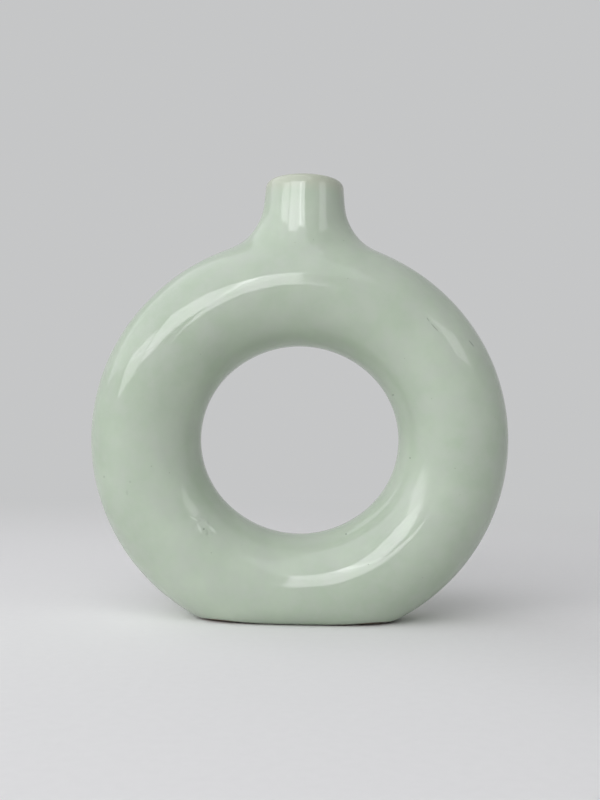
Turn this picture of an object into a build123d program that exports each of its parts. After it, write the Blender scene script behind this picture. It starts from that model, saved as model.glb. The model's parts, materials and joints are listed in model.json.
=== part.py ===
from build123d import *

import os
from math import radians, tan

# Donut vase in glazed ceramic: a hollow ring that stands on edge, with one neck on top.
# Lengths are in millimetres. The origin is the middle of the foot on the table, +Z is up,
# and the ring's hole runs along Y.

# Ring, measured along the centreline of its round tube. The foot is cut flat across it.
ring_half_width = 73.8
ring_half_height = 71.3
tube_radius = 26.2
foot_cut_depth = 11.7

# Neck: its rise above the ring, its outer radius at the rim, how far inside the tube's sides
# it starts at the tube's top centreline, and the round between neck and ring
neck_rise = 26.4
neck_rim_radius = 18.5
neck_root_inset = 3.0
shoulder_radius = 26.5

# Clay and glaze
wall_thickness = 4.5
floor_thickness = 5.0
glaze_thickness = 0.4
inside_round = 6.0

# Lip and foot. The glaze is wiped off the foot, and a margin round it.
lip_round_share = 0.45
lip_glaze_depth = 4.0
foot_round = 12.0
foot_ring_width = 6.0
foot_recess_depth = 1.2
bare_foot_margin = 4.0

# How far a cutting form runs past the face that it opens
overrun = 5.0

# Heights over the table
ring_centre_height = ring_half_height + tube_radius - foot_cut_depth
tube_top_height = ring_centre_height + ring_half_height
vase_height = tube_top_height + tube_radius + neck_rise

# The oval centreline is four arcs that meet where both turn through half a right angle
meeting_angle = 45
meeting_share = tan(radians(meeting_angle / 2))
crown_radius = (ring_half_width - meeting_share * ring_half_height) / (1 - meeting_share)
flank_radius = (ring_half_height - meeting_share * ring_half_width) / (1 - meeting_share)
crown_offset = ring_half_height - crown_radius
flank_offset = ring_half_width - flank_radius

# Depths below the glazed outside, measured square to it
clay_depth = glaze_thickness
cavity_depth = glaze_thickness + wall_thickness
liner_depth = cavity_depth + glaze_thickness

# The neck is a cone, wider below, and the two glaze coats meet inside it below the lip
neck_root_radius = tube_radius - neck_root_inset
neck_taper_share = (neck_root_radius - neck_rim_radius) / (vase_height - tube_top_height)
clay_height = vase_height - glaze_thickness
open_height = vase_height + overrun
tall_height = open_height + overrun
lip_round = lip_round_share * liner_depth
glaze_seam_height = vase_height - lip_glaze_depth


def neck_radius(height):
    return neck_rim_radius + neck_taper_share * (vase_height - height)


def vase_form(depth, floor, top, floor_round=0):
    """The vase's outside drawn in by a depth, solid, between a flat floor and a flat top."""
    with BuildPart() as form:
        with BuildLine(Plane.XZ) as centreline:
            for start_angle, x_offset, z_offset, radius in (
                (meeting_angle, 0, crown_offset, crown_radius),
                (meeting_angle + 90, -flank_offset, 0, flank_radius),
                (meeting_angle + 180, 0, -crown_offset, crown_radius),
                (meeting_angle + 270, flank_offset, 0, flank_radius),
            ):
                CenterArc((x_offset, ring_centre_height + z_offset), radius, start_angle, 90)
        with BuildSketch(Plane(origin=centreline.line @ 0, z_dir=centreline.line % 0)):
            Circle(tube_radius - depth)
        sweep()
        with BuildSketch(Plane.XZ):
            with BuildLine():
                Polyline(
                    (0, tube_top_height),
                    (neck_radius(tube_top_height) - depth, tube_top_height),
                    (neck_radius(tall_height) - depth, tall_height),
                    (0, tall_height),
                    close=True,
                )
            make_face()
        revolve(axis=Axis.Z)
        fillet(form.edges().filter_by(GeomType.BSPLINE), shoulder_radius + depth)
        split(bisect_by=Plane.XY.offset(top), keep=Keep.BOTTOM)
        split(bisect_by=Plane.XY.offset(floor), keep=Keep.TOP)
        if floor_round:
            fillet(form.edges().group_by(Axis.Z)[0], floor_round)
    return form.part


def lip_section(outer_depth, inner_depth, top, corner_round):
    """Half the neck's wall cut through, from the glaze seam up, with its top corners rounded."""
    with BuildSketch() as section:
        with BuildLine():
            Polyline(
                (neck_radius(glaze_seam_height) - outer_depth, glaze_seam_height),
                (neck_radius(top) - outer_depth, top),
                (neck_radius(top) - inner_depth, top),
                (neck_radius(glaze_seam_height) - inner_depth, glaze_seam_height),
                close=True,
            )
        make_face()
        fillet(section.vertices().group_by(Axis.Y)[-1], corner_round)
    return section.sketch


# Cast in one piece, with bare clay under the foot
with BuildPart() as clay_body:
    add(vase_form(clay_depth, 0, clay_height, foot_round))
    foot = clay_body.faces().sort_by(Axis.Z)[0].bounding_box().size
    add(vase_form(cavity_depth, floor_thickness, open_height, inside_round), mode=Mode.SUBTRACT)
    fillet(clay_body.edges().group_by(Axis.Z)[-1], lip_round - glaze_thickness)
    with BuildSketch():
        Ellipse(foot.X / 2 - foot_ring_width, foot.Y / 2 - foot_ring_width)
    extrude(amount=foot_recess_depth, mode=Mode.SUBTRACT)

# Glaze from the margin round the foot, over the lip and a little way into the neck
with BuildPart() as outer_glaze:
    add(vase_form(0, -glaze_thickness, glaze_seam_height, foot_round + glaze_thickness))
    add(vase_form(clay_depth, 0, open_height, foot_round), mode=Mode.SUBTRACT)
    with BuildSketch():
        SlotOverall(foot.X + 2 * bare_foot_margin, foot.Y + 2 * bare_foot_margin)
    extrude(amount=overrun, both=True, mode=Mode.SUBTRACT)
    with BuildSketch(Plane.XZ):
        add(lip_section(0, liner_depth, vase_height, lip_round))
        add(
            lip_section(clay_depth, cavity_depth, clay_height, lip_round - glaze_thickness),
            mode=Mode.SUBTRACT,
        )
    revolve(axis=Axis.Z)

# Glaze poured through the mouth, all over the cavity
with BuildPart() as liner_glaze:
    add(vase_form(cavity_depth, floor_thickness, glaze_seam_height, inside_round))
    add(
        vase_form(
            liner_depth,
            floor_thickness + glaze_thickness,
            open_height,
            inside_round - glaze_thickness,
        ),
        mode=Mode.SUBTRACT,
    )

clay_body.part.label = "clay_body"
outer_glaze.part.label = "outer_glaze"
liner_glaze.part.label = "liner_glaze"

os.makedirs("parts", exist_ok=True)
export_step(clay_body.part, "parts/clay_body.step")
export_step(outer_glaze.part, "parts/outer_glaze.step")
export_step(liner_glaze.part, "parts/liner_glaze.step")
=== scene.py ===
import json
from math import atan2, copysign, cos, hypot, pi, radians, sin, tan

import bmesh
import bpy
from mathutils import Matrix, Vector

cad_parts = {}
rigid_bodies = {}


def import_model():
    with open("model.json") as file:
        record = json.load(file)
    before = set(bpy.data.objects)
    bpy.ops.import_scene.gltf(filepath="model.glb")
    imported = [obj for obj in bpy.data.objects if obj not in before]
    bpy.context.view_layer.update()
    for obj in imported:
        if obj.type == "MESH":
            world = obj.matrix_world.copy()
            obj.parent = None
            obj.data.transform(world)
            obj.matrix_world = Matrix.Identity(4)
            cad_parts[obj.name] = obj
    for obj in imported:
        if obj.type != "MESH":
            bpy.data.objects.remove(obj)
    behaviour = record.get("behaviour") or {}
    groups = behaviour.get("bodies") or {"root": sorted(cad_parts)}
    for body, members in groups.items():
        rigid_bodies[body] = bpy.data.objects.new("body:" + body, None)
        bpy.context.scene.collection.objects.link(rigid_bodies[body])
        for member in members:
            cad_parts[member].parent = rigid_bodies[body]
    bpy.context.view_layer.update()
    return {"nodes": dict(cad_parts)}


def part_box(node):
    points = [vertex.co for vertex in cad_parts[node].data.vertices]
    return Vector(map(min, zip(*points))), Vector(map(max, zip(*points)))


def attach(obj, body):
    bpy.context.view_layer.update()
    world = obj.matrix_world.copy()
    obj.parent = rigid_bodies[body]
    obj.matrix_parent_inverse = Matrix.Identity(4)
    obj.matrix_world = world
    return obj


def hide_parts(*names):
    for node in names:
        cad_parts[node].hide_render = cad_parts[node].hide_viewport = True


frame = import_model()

# Donut vase in glossy sage green glaze. Lengths are in metres: the table is z = 0, the ring's
# hole runs along Y, and the front faces -Y.

glaze_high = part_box("outer_glaze")[1]

# Form of the vase, as built. The ring's centreline is an oval of four arcs, two wide ones at
# crown and foot and two tighter ones at the flanks, whose middles lie off the ring's centre.
TUBE_RADIUS = glaze_high.y
RING_HALF_WIDTH = glaze_high.x - TUBE_RADIUS
RING_HALF_HEIGHT = 0.0713
RING_CENTRE = Vector((0, 0, 0.0858))
CROWN_RADIUS = 0.07557
FLANK_RADIUS = 0.06953
ARC_OFFSET = 0.00427
RIM_HEIGHT = glaze_high.z
NECK_RADIUS = 0.0185
NECK_TAPER = 0.09
MOUTH_RADIUS = 0.0132
LIP_CREST_RADIUS = 0.0160
LIP_DROP = 0.0031
GLAZE_THICKNESS = 0.0003
GLAZE_SEAM_DEPTH = 0.004


# Camera: level with the ring's centre. The focal length and the place of the ring's centre are
# in pixels of the picture.

PICTURE_WIDTH, PICTURE_HEIGHT = 600, 800
FOCAL_PIXELS = 930
CAMERA_DISTANCE = 0.4485
CAMERA_ROLL = radians(1.15)
RING_CENTRE_PIXEL = (299.75, 440)
SENSOR_WIDTH = 36


def add_camera():
    data = bpy.data.cameras.new("camera")
    data.sensor_width = SENSOR_WIDTH
    data.lens = SENSOR_WIDTH * FOCAL_PIXELS / PICTURE_HEIGHT
    data.shift_x = (PICTURE_WIDTH / 2 - RING_CENTRE_PIXEL[0]) / PICTURE_HEIGHT
    data.shift_y = (RING_CENTRE_PIXEL[1] - PICTURE_HEIGHT / 2) / PICTURE_HEIGHT
    camera = bpy.data.objects.new("camera", data)
    bpy.context.scene.collection.objects.link(camera)
    upright = Matrix.Rotation(pi / 2, 4, "X")
    roll = Matrix.Rotation(CAMERA_ROLL, 4, "Z")
    place = Matrix.Translation(RING_CENTRE - Vector((0, CAMERA_DISTANCE, 0)))
    camera.matrix_world = place @ upright @ roll
    bpy.context.scene.camera = camera


add_camera()


# Modelling helpers

# Corners of a CAD mesh that lie this near each other are one
MERGE_DISTANCE = 2e-6


def deselect_all():
    bpy.ops.object.select_all(action="DESELECT")


def activate(piece):
    deselect_all()
    piece.select_set(True)
    bpy.context.view_layer.objects.active = piece


class Editing:
    """Edit mode on one piece, with nothing selected at the start."""

    def __init__(self, piece):
        self.piece = piece

    def __enter__(self):
        activate(self.piece)
        bpy.ops.object.mode_set(mode="EDIT")
        bpy.ops.mesh.select_all(action="DESELECT")
        return self

    def __exit__(self, *problem):
        bpy.ops.object.mode_set(mode="OBJECT")

    def select(self, kind, test):
        """Selects just the faces, edges or vertices that pass a test."""
        bpy.ops.mesh.select_mode(type=kind)
        bpy.ops.mesh.select_all(action="DESELECT")
        mesh = bmesh.from_edit_mesh(self.piece.data)
        elements = {"FACE": mesh.faces, "EDGE": mesh.edges, "VERT": mesh.verts}[kind]
        for element in elements:
            if test(element):
                element.select_set(True)
        mesh.select_flush_mode()
        bmesh.update_edit_mesh(self.piece.data)

    def select_all(self):
        bpy.ops.mesh.select_mode(type="VERT")
        bpy.ops.mesh.select_all(action="SELECT")

    def select_open_edges(self, above, below):
        """Selects the edges of openings between two heights."""

        def is_open(edge):
            height = (edge.verts[0].co.z + edge.verts[1].co.z) / 2
            return len(edge.link_faces) < 2 and above < height < below

        self.select("EDGE", is_open)


def apply_modifier(piece, kind, **settings):
    activate(piece)
    modifier = piece.modifiers.new(kind.title(), kind)
    for name, value in settings.items():
        setattr(modifier, name, value)
    bpy.ops.object.modifier_apply(modifier=modifier.name)


def join(*pieces):
    deselect_all()
    for piece in pieces:
        piece.select_set(True)
    bpy.context.view_layer.objects.active = pieces[0]
    bpy.ops.object.join()
    return pieces[0]


def merged_copy(node, name):
    """A copy of a CAD node with its loose triangles joined."""
    piece = frame["nodes"][node].copy()
    piece.data = piece.data.copy()
    piece.name = name
    piece.parent = None
    bpy.context.scene.collection.objects.link(piece)
    with Editing(piece) as edit:
        edit.select_all()
        bpy.ops.mesh.remove_doubles(threshold=MERGE_DISTANCE)
    return piece


# Glaze skin: a cage of even faces, drawn onto the CAD glaze and subdivided

# Faces round the ring and round its tube, and how many each way from the middle are taken out
# for the neck and for the foot: along the ring, and across it
RING_SEGMENTS = 72
TUBE_SEGMENTS = 32
NECK_PATCH = (4, 5)
FOOT_PATCH = (8, 8)

# Loops of the neck: the radius that the first is drawn at, the drops of the first few below
# the rim, and the turns in degrees of those round the lip's outer and inner edge. Loop of the
# foot: its half length and height, and its depth as a share of its length.
NECK_START_RADIUS = NECK_RADIUS + 0.0009
NECK_DROPS = (0.0095, 0.006, 0.0044)
LIP_OUTER_TURNS = (0, 22.5, 45, 67.5, 90)
LIP_INNER_TURNS = (60, 30, 0)
FOOT_START = (0.046, -0.001)
FOOT_ASPECT = 0.36

# Heights between which the openings to be bridged lie, and the loops added in each bridge
NECK_BRIDGE = (RIM_HEIGHT - 0.06, RIM_HEIGHT - 0.005)
FOOT_BRIDGE = (-1.0, RING_CENTRE.z)
BRIDGE_CUTS = 5

# The glaze's visible side is picked this near its widest point, up to edges that bend more
WIDEST_BAND = 1e-4
GLAZE_CREASE = radians(24)

# Where and how far corners are evened out as the cage is drawn onto the glaze. What lies over
# the lip's outer edge, less a margin, isn't drawn onto it.
NECK_EVENING_REACH = 0.052
NECK_EVENING_HEIGHTS = (0.168, RIM_HEIGHT - 0.012)
FOOT_EVENING_HEIGHT = 0.026
EVENING_FACTOR = 0.6
EVENING_REPEATS = 3
FITTING_ROUNDS = 4
LIP_MARGIN = 1e-5

# Then the corners are moved out by what subdivision takes, and the tube is made truly round,
# which fades in over the foot and fades out below the shoulder
SWELLING_ROUNDS = 4
SKIN_LEVELS = 2
TRUE_TUBE_START = (0.0100, 0.0120)
TRUE_TUBE_END = (0.125, 0.145)


def outer_side():
    """The glaze's visible side alone, which the cage is drawn onto."""
    target = merged_copy("outer_glaze", "glaze_target")
    side = glaze_high.x - WIDEST_BAND
    with Editing(target) as edit:
        bpy.ops.mesh.select_mode(type="EDGE")
        bpy.ops.mesh.edges_select_sharp(sharpness=GLAZE_CREASE)
        bpy.ops.mesh.mark_sharp()
        edit.select("FACE", lambda face: face.calc_center_median().x > side)
        bpy.ops.mesh.select_linked(delimit={"SHARP"})
        bpy.ops.mesh.select_all(action="INVERT")
        bpy.ops.mesh.delete(type="FACE")
    return target


def ring_angles(point):
    """Turns of a point round the ring from its top, and round the tube from its outside."""
    across, up = point.x, point.z - RING_CENTRE.z
    out = hypot(across, up) - (RING_HALF_WIDTH + RING_HALF_HEIGHT) / 2
    return atan2(across, up), atan2(point.y, out)


def in_patch(face, patch, upside_down):
    """Whether a face lies in the patch at the ring's top, or at its foot."""
    round_ring, round_tube = ring_angles(face.calc_center_median())
    if upside_down:
        round_ring = pi - abs(round_ring)
    ring_limit = patch[0] * 2 * pi / RING_SEGMENTS
    tube_limit = patch[1] * 2 * pi / TUBE_SEGMENTS
    return abs(round_ring) < ring_limit and abs(round_tube) < tube_limit


def patch_edges(patch):
    """The number of edges round a patch."""
    return 4 * (patch[0] + patch[1])


def ring_cage():
    bpy.ops.mesh.primitive_torus_add(
        major_radius=RING_HALF_WIDTH,
        minor_radius=TUBE_RADIUS,
        major_segments=RING_SEGMENTS,
        minor_segments=TUBE_SEGMENTS,
        location=RING_CENTRE,
        rotation=(pi / 2, 0, 0),
    )
    cage = bpy.context.object
    cage.name = "glaze_skin"
    bpy.ops.object.transform_apply(location=True, rotation=True, scale=True)
    squash_share = RING_HALF_HEIGHT / RING_HALF_WIDTH
    with Editing(cage) as edit:
        edit.select_all()
        bpy.ops.transform.resize(value=(1, 1, squash_share), center_override=RING_CENTRE)
        for patch, upside_down in ((NECK_PATCH, False), (FOOT_PATCH, True)):
            edit.select("FACE", lambda face: in_patch(face, patch, upside_down))
            bpy.ops.mesh.delete(type="FACE")
    return cage


def add_loops(start_radius, loops, vertices, aspect=1.0):
    """A tube of loops, each given as its radius and height, scaled to the start's radius."""
    radius, height = loops[0]
    bpy.ops.mesh.primitive_circle_add(
        vertices=vertices, radius=start_radius, location=(0, 0, height)
    )
    tube = bpy.context.object
    bpy.ops.object.transform_apply(location=True, rotation=True, scale=True)
    with Editing(tube) as edit:
        edit.select_all()
        bpy.ops.transform.resize(value=(1, aspect, 1))
        for next_radius, next_height in loops[1:]:
            bpy.ops.mesh.extrude_region_move(
                TRANSFORM_OT_translate={"value": (0, 0, next_height - height)}
            )
            grow = next_radius / radius
            bpy.ops.transform.resize(
                value=(grow, grow, 1), center_override=(0, 0, next_height)
            )
            radius, height = next_radius, next_height
    return tube


def neck_loops():
    """Radius and height of the neck's loops, from the shoulder over the lip into the mouth."""
    loops = []
    for drop in NECK_DROPS:
        loops.append((NECK_RADIUS + NECK_TAPER * drop, RIM_HEIGHT - drop))
    for turn in LIP_OUTER_TURNS:
        drop = LIP_DROP * (1 - sin(radians(turn)))
        reach = NECK_RADIUS + NECK_TAPER * drop - LIP_CREST_RADIUS
        loops.append((LIP_CREST_RADIUS + reach * cos(radians(turn)), RIM_HEIGHT - drop))
    inner_round = LIP_CREST_RADIUS - MOUTH_RADIUS
    for turn in LIP_INNER_TURNS:
        drop = inner_round * (1 - sin(radians(turn)))
        reach = inner_round * cos(radians(turn))
        loops.append((LIP_CREST_RADIUS - reach, RIM_HEIGHT - drop))
    loops.append((MOUTH_RADIUS, RIM_HEIGHT - GLAZE_SEAM_DEPTH))
    return loops


def bridge(edit, above, below):
    edit.select_open_edges(above, below)
    bpy.ops.mesh.bridge_edge_loops(
        number_cuts=BRIDGE_CUTS,
        interpolation="SURFACE",
        smoothness=1.0,
        profile_shape_factor=0.0,
    )


def needs_evening(corner):
    """Whether a corner lies among the faces that join the ring with neck or foot."""
    low, high = NECK_EVENING_HEIGHTS
    from_axis = hypot(corner.co.x, corner.co.y)
    at_neck = from_axis < NECK_EVENING_REACH and low < corner.co.z < high
    at_foot = corner.co.z < FOOT_EVENING_HEIGHT and not corner.is_boundary
    return at_neck or at_foot


def fit(cage, target):
    """Draws the cage onto the target up to the lip, evening out its faces at neck and foot."""
    below_lip = cage.vertex_groups.new(name="below_lip")
    lip_height = RIM_HEIGHT - LIP_DROP - LIP_MARGIN
    below_lip.add([v.index for v in cage.data.vertices if v.co.z < lip_height], 1.0, "REPLACE")
    onto_target = {
        "target": target,
        "wrap_method": "NEAREST_SURFACEPOINT",
        "vertex_group": below_lip.name,
    }
    apply_modifier(cage, "SHRINKWRAP", **onto_target)
    for _ in range(FITTING_ROUNDS):
        with Editing(cage) as edit:
            edit.select("VERT", needs_evening)
            bpy.ops.mesh.vertices_smooth(factor=EVENING_FACTOR, repeat=EVENING_REPEATS)
        apply_modifier(cage, "SHRINKWRAP", **onto_target)
    cage.vertex_groups.clear()


def limit_point(corner):
    """Where a corner of a cage of quads comes to lie once the cage is subdivided."""
    if corner.is_boundary:
        ends = [edge.other_vert(corner).co for edge in corner.link_edges if edge.is_boundary]
        return (corner.co * 4 + ends[0] + ends[1]) / 6
    count = len(corner.link_edges)
    near = Vector()
    for edge in corner.link_edges:
        near += edge.other_vert(corner).co
    far = Vector()
    for face in corner.link_faces:
        for other in face.verts:
            far += other.co
    far -= near * 2 + corner.co * count
    return (corner.co * count * count + near * 4 + far) / (count * (count + 5))


def swell(cage):
    """Moves each corner of the cage by as much as subdivision will draw it in."""
    mesh = bmesh.new()
    mesh.from_mesh(cage.data)
    places = [corner.co.copy() for corner in mesh.verts]
    for _ in range(SWELLING_ROUNDS):
        moves = [place - limit_point(corner) for corner, place in zip(mesh.verts, places)]
        for corner, move in zip(mesh.verts, moves):
            corner.co += move
    mesh.to_mesh(cage.data)
    mesh.free()


def centreline_point(point):
    """The nearest point of the ring's centreline, whose arcs meet at 45 degrees."""
    across, up = point.x, point.z - RING_CENTRE.z
    if abs(up) + ARC_OFFSET > abs(across):
        middle = Vector((0, 0, -copysign(ARC_OFFSET, up)))
        radius = CROWN_RADIUS
    else:
        middle = Vector((copysign(ARC_OFFSET, across), 0, 0))
        radius = FLANK_RADIUS
    middle += RING_CENTRE
    return middle + (Vector((point.x, 0, point.z)) - middle).normalized() * radius


def fade(value, low, high):
    """0 below low, 1 above high, and a soft step between."""
    share = min(max((value - low) / (high - low), 0), 1)
    return share * share * (3 - 2 * share)


def true_tube(skin):
    """Makes the tube truly round between foot and shoulder, where gloss shows each flaw."""
    for corner in skin.data.vertices:
        height = corner.co.z
        share = fade(height, *TRUE_TUBE_START) * (1 - fade(height, *TRUE_TUBE_END))
        if share > 0:
            middle = centreline_point(corner.co)
            place = middle + (corner.co - middle).normalized() * TUBE_RADIUS
            corner.co = corner.co.lerp(place, share)


def glaze_skin():
    target = outer_side()
    ring = ring_cage()
    neck = add_loops(NECK_START_RADIUS, neck_loops(), patch_edges(NECK_PATCH))
    foot = add_loops(FOOT_START[0], [FOOT_START], patch_edges(FOOT_PATCH), FOOT_ASPECT)
    cage = join(ring, neck, foot)
    with Editing(cage) as edit:
        bridge(edit, *NECK_BRIDGE)
        bridge(edit, *FOOT_BRIDGE)
        edit.select_all()
        bpy.ops.mesh.normals_make_consistent(inside=False)
    fit(cage, target)
    bpy.data.objects.remove(target)
    swell(cage)
    return cage


# Shader maths: an expression on values adds its Math nodes

class Value:
    """A number socket in one node tree, for writing shader maths as expressions."""

    def __init__(self, tree, socket):
        self.tree = tree
        self.socket = socket

    def maths(self, operation, *others):
        node = self.tree.node("ShaderNodeMath", {"operation": operation}, [self, *others])
        return node.value()

    def __add__(self, other):
        return self.maths("ADD", other)

    def __sub__(self, other):
        return self.maths("SUBTRACT", other)

    def __mul__(self, other):
        return self.maths("MULTIPLY", other)

    __radd__ = __add__
    __rmul__ = __mul__

    def __rsub__(self, other):
        return (self * -1) + other

    def clamped(self):
        return self.maths("MINIMUM", 1).maths("MAXIMUM", 0)


class Node:
    """One shader node, whose outputs are read by name or number."""

    def __init__(self, tree, node):
        self.tree = tree
        self.node = node

    def value(self, output=0):
        return Value(self.tree, self.node.outputs[output])


class Tree:
    """One material's or world's node tree, cleared at the start."""

    # The Mix node's sockets for colours, whose names its other kinds of mix share
    FIRST_COLOUR, SECOND_COLOUR, MIXED_COLOUR = 6, 7, 2

    def __init__(self, owner):
        owner.use_nodes = True
        self.nodes = owner.node_tree.nodes
        self.links = owner.node_tree.links
        self.nodes.clear()

    def node(self, kind, settings=None, inputs=None):
        """Adds a node with its settings, then gives its sockets their values or links."""
        node = self.nodes.new(kind)
        for name, setting in (settings or {}).items():
            setattr(node, name, setting)
        named = inputs.items() if isinstance(inputs, dict) else enumerate(inputs or [])
        for name, given in named:
            if isinstance(given, Value):
                self.links.new(given.socket, node.inputs[name])
            else:
                node.inputs[name].default_value = given
        return Node(self, node)

    def coordinates(self):
        return self.node("ShaderNodeTexCoord").value("Object")

    def place(self, centre=(0, 0, 0), scale=(1, 1, 1), turn=(0, 0, 0)):
        """Object coordinates in metres, moved and stretched about a point."""
        return self.node(
            "ShaderNodeMapping",
            {"vector_type": "TEXTURE"},
            {
                "Vector": self.coordinates(),
                "Location": centre,
                "Rotation": turn,
                "Scale": scale,
            },
        ).value()

    def height(self):
        """The height over the table in metres."""
        return self.node("ShaderNodeSeparateXYZ", None, [self.coordinates()]).value("Z")

    def length(self, vector):
        node = self.node("ShaderNodeVectorMath", {"operation": "LENGTH"}, [vector])
        return node.value("Value")

    def spot(self, centre, size, turn=0, edge=0.5):
        """1 inside a small oval, turned about Y, and 0 outside it, with a soft edge."""
        away = self.length(self.place(centre, size, (0, radians(turn), 0)))
        return 1 - self.smooth(away, edge, 1.0)

    def scattered_dots(self, spacing, radius):
        """1 in small dots, whose spacing and radius are in metres."""
        away = self.node(
            "ShaderNodeTexVoronoi",
            {"feature": "F1"},
            {"Vector": self.place(), "Scale": 1 / spacing},
        ).value("Distance")
        return 1 - self.smooth(away, radius / spacing * 0.5, radius / spacing)

    def noise(self, size, detail=2.0, roughness=0.5):
        """Soft noise from 0 to 1 whose patches are about the given size in metres."""
        return self.node(
            "ShaderNodeTexNoise",
            {"noise_dimensions": "3D"},
            {
                "Vector": self.place(),
                "Scale": 1 / size,
                "Detail": detail,
                "Roughness": roughness,
            },
        ).value("Fac")

    def smooth(self, value, low, high):
        """0 below low, 1 above high, and a soft step between."""
        return self.node(
            "ShaderNodeMapRange",
            {"interpolation_type": "SMOOTHSTEP"},
            {"Value": value, "From Min": low, "From Max": high},
        ).value()

    def blend(self, factor, first, second):
        """A colour between two colours."""
        return self.node(
            "ShaderNodeMix",
            {"data_type": "RGBA"},
            {"Factor": factor, self.FIRST_COLOUR: first, self.SECOND_COLOUR: second},
        ).value(self.MIXED_COLOUR)

    def bump(self, height, distance):
        inputs = {"Height": height, "Distance": distance, "Strength": 1.0}
        return self.node("ShaderNodeBump", None, inputs).value()


def new_material(name, **constants):
    """A material with one Principled shader: returns it, its tree and the shader node."""
    material = bpy.data.materials.new(name)
    tree = Tree(material)
    shader = tree.node("ShaderNodeBsdfPrincipled", None, constants)
    output = tree.node("ShaderNodeOutputMaterial")
    tree.links.new(shader.node.outputs[0], output.node.inputs[0])
    return material, tree, shader.node


def feed(tree, shader, **sockets):
    for name, value in sockets.items():
        tree.links.new(value.socket, shader.inputs[name.replace("_", " ")])


# Glaze: soft clouds between pale and deep, mottled with grey, warmer at the lip, darker in its
# marks, and with painted highlights (pale glints) along the dent's folds

PALE = (0.472, 0.550, 0.440, 1)
DEEP = (0.392, 0.475, 0.362, 1)
GREY = (0.452, 0.500, 0.432, 1)
WARM = (0.480, 0.500, 0.400, 1)
PIT = (0.160, 0.200, 0.150, 1)
# Painted highlight: the colour of the pale glints painted along the dent's folds
PAINTED_GLINT = (0.640, 0.710, 0.620, 1)
MOTTLE_SHARE = 0.6
WARM_SHARE = 0.7
PAINTED_GLINT_SHARE = 0.5
PIT_SHARE = 0.55
WARM_RIM_WIDTH = 0.008
WARM_RIM_UNEVENNESS = 0.004

# Liner, thinner and deeper in colour, and the bare clay
LINER_PALE = (0.40, 0.48, 0.37, 1)
LINER_DEEP = (0.34, 0.42, 0.32, 1)
# The bare clay is dark brown, which shows as the dark line along the foot
CLAY_DARK = (0.14, 0.10, 0.07, 1)
CLAY_LIGHT = (0.34, 0.26, 0.19, 1)

# Roughness: the least of each finish, how much its noise adds, and what the dull patch adds
GLAZE_ROUGHNESS, GLAZE_ROUGHNESS_SPAN = 0.05, 0.05
LINER_ROUGHNESS, LINER_ROUGHNESS_SPAN = 0.12, 0.1
CLAY_ROUGHNESS, CLAY_ROUGHNESS_SPAN = 0.75, 0.15
DULL_ROUGHNESS = 0.12

# Small marks. Scratches: centre, half lengths, turn about Y in degrees and depth from 0 to 1.
# Pinholes: centre, radius and depth from 0 to 1, and how far along Y they all reach. Fine dots
# lie scattered between them.
SCRATCHES = (
    ((0.0604, -0.0251, 0.1382), (0.0031, 0.003, 0.0003), 46, 0.8),
    ((0.0573, -0.0251, 0.1418), (0.0014, 0.003, 0.0003), 60, 0.8),
    ((0.0784, -0.0192, 0.1320), (0.0024, 0.003, 0.0004), 46, 0.9),
    ((-0.0782, -0.0246, 0.0602), (0.0016, 0.003, 0.0007), 80, 0.25),
)
PINHOLES = (
    ((0.0436, -0.0094, 0.1079), 0.0005, 1.0),
    ((0.0516, -0.0147, 0.0784), 0.0004, 1.0),
    ((0.0225, -0.0131, 0.0422), 0.0005, 1.0),
    ((-0.0901, -0.0186, 0.0669), 0.0007, 0.5),
    ((-0.0768, -0.0255, 0.0652), 0.0007, 0.35),
    ((-0.0430, -0.0229, 0.0442), 0.0006, 0.8),
)
PINHOLE_REACH = 0.002
FINE_DOT_SPACING = 0.008
FINE_DOT_RADIUS = 0.00028

# The folded dent at the lower left, and the painted highlights (pale glints) along its folds:
# centre, half lengths and turn about Y in degrees
DENT_CENTRE = (-0.0431, -0.0222, 0.0450)
DENT_SIZE = (0.0085, 0.010, 0.0050)
DENT_TURN = 36
DENT_PAINTED_GLINTS = (
    ((-0.0478, -0.0231, 0.0489), (0.0032, 0.003, 0.0006), 31),
    ((-0.0450, -0.0235, 0.0445), (0.0036, 0.003, 0.0009), 63),
    ((-0.0397, -0.0215, 0.0443), (0.0041, 0.003, 0.0010), 43),
)

# The patch at the lower right whose gloss is a little duller
DULL_CENTRE = (0.0560, -0.0210, 0.0700)
DULL_SIZE = (0.018, 0.022, 0.031)

# Relief of the glaze, each form's height in millimetres, and where the step and the lip lie
LONG_WAVES = 0.24
SHORT_WAVES = 0.055
NECK_STEP = 0.9
NECK_STEP_HEIGHTS = (0.172, 0.188)
WRINKLES = 1.1
LIP_THINNING = 0.25
LIP_THINNING_HEIGHTS = (RIM_HEIGHT - 0.0048, RIM_HEIGHT - 0.0024)
MARK_DEPTH = 0.15
MILLIMETRE = 0.001
CLAY_GRAIN_DEPTH = 0.0003


def glaze_marks(tree):
    """Where the glaze is scratched or pitted, from 0 to 1."""
    marks = tree.scattered_dots(FINE_DOT_SPACING, FINE_DOT_RADIUS)
    for centre, size, turn, depth in SCRATCHES:
        marks = marks + tree.spot(centre, size, turn) * depth
    for centre, radius, depth in PINHOLES:
        marks = marks + tree.spot(centre, (radius, PINHOLE_REACH, radius)) * depth
    return marks.clamped()


def dent_painted_glints(tree):
    """The painted highlights (pale glints) along the dent's folds, from 0 to 1."""
    return sum(tree.spot(*glint, edge=0.2) for glint in DENT_PAINTED_GLINTS).clamped()


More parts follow.
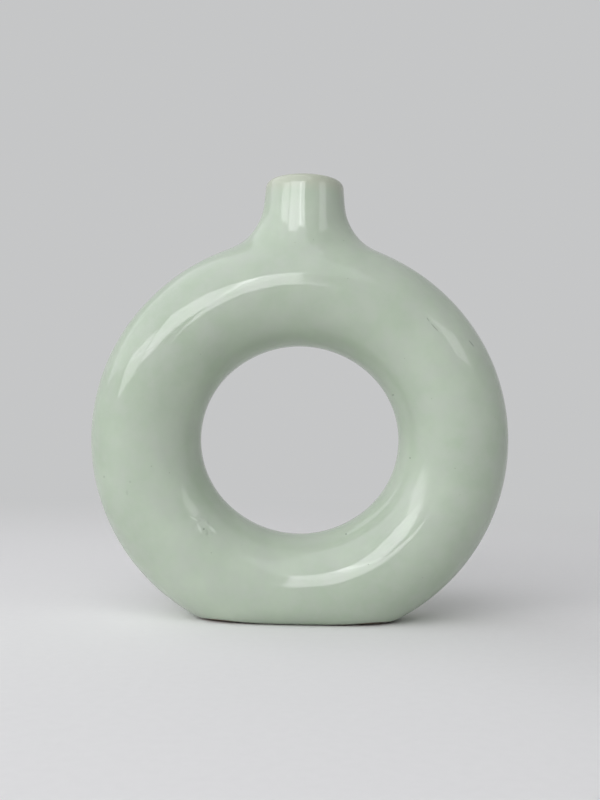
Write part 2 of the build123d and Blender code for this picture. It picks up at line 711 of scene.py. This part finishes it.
def glaze_relief(tree, marks):
    """The glaze's waves, the step between neck and ring, its dent, lip and marks, in mm."""
    waves = (
        tree.noise(size=0.026, detail=0.0) * LONG_WAVES
        + tree.noise(size=0.007, detail=0.0) * SHORT_WAVES
    )
    step = 1 - tree.smooth(tree.height(), *NECK_STEP_HEIGHTS)
    dent = tree.spot(DENT_CENTRE, DENT_SIZE, DENT_TURN, edge=0.3)
    wrinkles = (tree.noise(size=0.0036, detail=1.0) - 0.5) * dent
    lip = tree.smooth(tree.height(), *LIP_THINNING_HEIGHTS)
    return (
        waves
        + step * NECK_STEP
        + wrinkles * WRINKLES
        - lip * LIP_THINNING
        - marks * MARK_DEPTH
    )


def glossy_glaze():
    material, tree, shader = new_material("sage_green_glaze", IOR=1.52)
    wide_noise = tree.noise(size=0.045, detail=4.0, roughness=0.6)
    clouds = tree.smooth(wide_noise, low=0.3, high=0.7)
    fine_noise = tree.noise(size=0.012, detail=5.0, roughness=0.65)
    mottle = tree.smooth(fine_noise, low=0.35, high=0.7)
    uneven_height = tree.height() + tree.noise(size=0.01) * WARM_RIM_UNEVENNESS
    rim = tree.smooth(uneven_height, RIM_HEIGHT - WARM_RIM_WIDTH, RIM_HEIGHT)
    marks = glaze_marks(tree)
    colour = tree.blend(clouds, PALE, DEEP)
    colour = tree.blend(mottle * MOTTLE_SHARE, colour, GREY)
    colour = tree.blend(rim * WARM_SHARE, colour, WARM)
    # Painted highlights: pale glints painted into the colour along the dent's folds
    colour = tree.blend(dent_painted_glints(tree) * PAINTED_GLINT_SHARE, colour, PAINTED_GLINT)
    colour = tree.blend(marks * PIT_SHARE, colour, PIT)
    uneven_gloss = tree.noise(size=0.02, detail=3.0) * GLAZE_ROUGHNESS_SPAN
    dull = tree.spot(DULL_CENTRE, DULL_SIZE, edge=0.0) * DULL_ROUGHNESS
    feed(
        tree,
        shader,
        Base_Color=colour,
        Roughness=uneven_gloss + dull + GLAZE_ROUGHNESS,
        Normal=tree.bump(glaze_relief(tree, marks), MILLIMETRE),
    )
    return material


def liner_finish():
    material, tree, shader = new_material("liner_glaze_finish", IOR=1.5)
    mottle = tree.noise(size=0.008, detail=4.0)
    feed(
        tree,
        shader,
        Base_Color=tree.blend(mottle, LINER_PALE, LINER_DEEP),
        Roughness=mottle * LINER_ROUGHNESS_SPAN + LINER_ROUGHNESS,
    )
    return material


def bare_clay():
    material, tree, shader = new_material("bare_clay_body")
    grain = tree.noise(size=0.0012, detail=5.0, roughness=0.7)
    feed(
        tree,
        shader,
        Base_Color=tree.blend(grain, CLAY_DARK, CLAY_LIGHT),
        Roughness=grain * CLAY_ROUGHNESS_SPAN + CLAY_ROUGHNESS,
        Normal=tree.bump(grain, CLAY_GRAIN_DEPTH),
    )
    return material


# The vase: a new skin for the outer glaze, and the CAD's own clay and liner

def make_glaze():
    skin = glaze_skin()
    activate(skin)
    bpy.ops.object.shade_smooth()
    apply_modifier(skin, "SUBSURF", levels=SKIN_LEVELS, render_levels=SKIN_LEVELS)
    true_tube(skin)
    apply_modifier(skin, "SOLIDIFY", thickness=GLAZE_THICKNESS, offset=-1.0)
    skin.data.materials.clear()
    skin.data.materials.append(glossy_glaze())
    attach(skin, "root")
    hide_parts("outer_glaze")


def finish_node(node, material):
    frame["nodes"][node].material_slots[0].material = material


make_glaze()
finish_node("clay_body", bare_clay())
finish_node("liner_glaze", liner_finish())


# Studio: a pale floor that runs into a pale surround. The floor lies a little under the foot,
# so that their faces don't fall together.

SURROUND = (0.56, 0.565, 0.57, 1)
FLOOR_COLOUR = (0.84, 0.84, 0.83)
FLOOR_GAP = 0.0001
FLOOR_RADIUS = 12
FLOOR_SIDES = 96
FLOOR_FADE = (0.16, 0.9)
FLECK_LEAST, FLECK_SPAN = 0.98, 0.04
WORLD_COLOUR = (1, 1, 1, 1)
WORLD_LIGHT = 0.12

# Three key panels side by side, from the front round to the left, give the glaze its long
# highlights. A wide one over them lightens the upper left, and a small one gives the pale edge
# at the neck's right. The fills light the vase without showing in its gloss. Each panel has
# its turn and rise as seen from the ring, its width and height, all in degrees, its radiance
# and tint, its roll in degrees, and whether it shows in the gloss.
PANEL_DISTANCE = 2.6
COOL = (0.98, 0.965, 1.0)
SKY = (0.93, 0.94, 1.0)
WHITE = (1, 1, 1)
PANELS = (
    ("key_right", -5.5, 20.5, 12, 25, 3.8, COOL, 3, True),
    ("key_left", -26, 25.5, 29, 17, 3.8, COOL, -3, True),
    ("key_side", -55, 20, 21.5, 15, 2.8, COOL, 12, True),
    ("upper_panel", -58, 52, 100, 60, 0.9, SKY, 0, True),
    ("right_panel", 53, 29, 19, 13, 1.6, COOL, 0, True),
    ("left_fill", -54, 17, 44, 33, 1.2, WHITE, 0, False),
    ("front_fill", -6, 50, 53, 40, 0.5, COOL, 0, False),
    ("left_back_fill", -140, 25, 53, 46, 0.75, WHITE, 0, False),
    ("right_back_fill", 160, 25, 53, 46, 0.35, WHITE, 0, False),
)


def floor_finish():
    """Pale and faintly flecked, clear from below, and one with the surround further out."""
    material = bpy.data.materials.new("pale_floor")
    tree = Tree(material)
    fleck = tree.noise(size=0.004, detail=3.0) * FLECK_SPAN + FLECK_LEAST
    tone = tree.node(
        "ShaderNodeVectorMath", {"operation": "SCALE"}, {0: FLOOR_COLOUR, "Scale": fleck}
    ).value()
    near = tree.node("ShaderNodeBsdfDiffuse", None, {"Color": tone}).value()
    far = tree.node("ShaderNodeEmission", None, {"Color": SURROUND}).value()
    reach = tree.smooth(tree.length(tree.place()), *FLOOR_FADE)
    lit = tree.node("ShaderNodeMixShader", None, [reach, near, far]).value()
    below = tree.node("ShaderNodeNewGeometry").value("Backfacing")
    clear = tree.node("ShaderNodeBsdfTransparent").value()
    both = tree.node("ShaderNodeMixShader", None, [below, lit, clear]).value()
    tree.node("ShaderNodeOutputMaterial", None, [both])
    return material


def add_floor():
    bpy.ops.mesh.primitive_circle_add(
        vertices=FLOOR_SIDES,
        radius=FLOOR_RADIUS,
        fill_type="NGON",
        location=(0, 0, -FLOOR_GAP),
    )
    floor = bpy.context.object
    floor.name = "floor"
    floor.data.materials.append(floor_finish())


def add_surround():
    """A backdrop that camera, gloss and glass see, and an even light for all the rest."""
    world = bpy.data.worlds.new("surround")
    bpy.context.scene.world = world
    tree = Tree(world)
    rays = tree.node("ShaderNodeLightPath")
    seen = (
        rays.value("Is Camera Ray")
        + rays.value("Is Glossy Ray")
        + rays.value("Is Transmission Ray")
    ).clamped()
    light = tree.node(
        "ShaderNodeBackground", None, {"Color": WORLD_COLOUR, "Strength": WORLD_LIGHT}
    ).value()
    backdrop = tree.node(
        "ShaderNodeBackground", None, {"Color": SURROUND, "Strength": 1.0}
    ).value()
    both = tree.node("ShaderNodeMixShader", None, [seen, light, backdrop]).value()
    tree.node("ShaderNodeOutputWorld", None, [both])


def add_panel(name, turn, rise, width, height, radiance, tint, roll, glossy):
    """A soft rectangular light that faces the ring."""
    data = bpy.data.lights.new(name, "AREA")
    data.shape = "RECTANGLE"
    data.color = tint
    data.size = 2 * PANEL_DISTANCE * tan(radians(width / 2))
    data.size_y = 2 * PANEL_DISTANCE * tan(radians(height / 2))
    data.energy = radiance * pi * data.size * data.size_y
    panel = bpy.data.objects.new(name, data)
    turned = Matrix.Rotation(radians(turn), 4, "Z")
    raised = Matrix.Rotation(pi / 2 - radians(rise), 4, "X")
    out = Matrix.Translation((0, 0, PANEL_DISTANCE))
    rolled = Matrix.Rotation(radians(roll), 4, "Z")
    panel.matrix_world = Matrix.Translation(RING_CENTRE) @ turned @ raised @ out @ rolled
    panel.visible_camera = False
    panel.visible_glossy = glossy
    bpy.context.scene.collection.objects.link(panel)


add_floor()
add_surround()
for panel in PANELS:
    add_panel(*panel)

bpy.context.scene.view_settings.view_transform = "Standard"
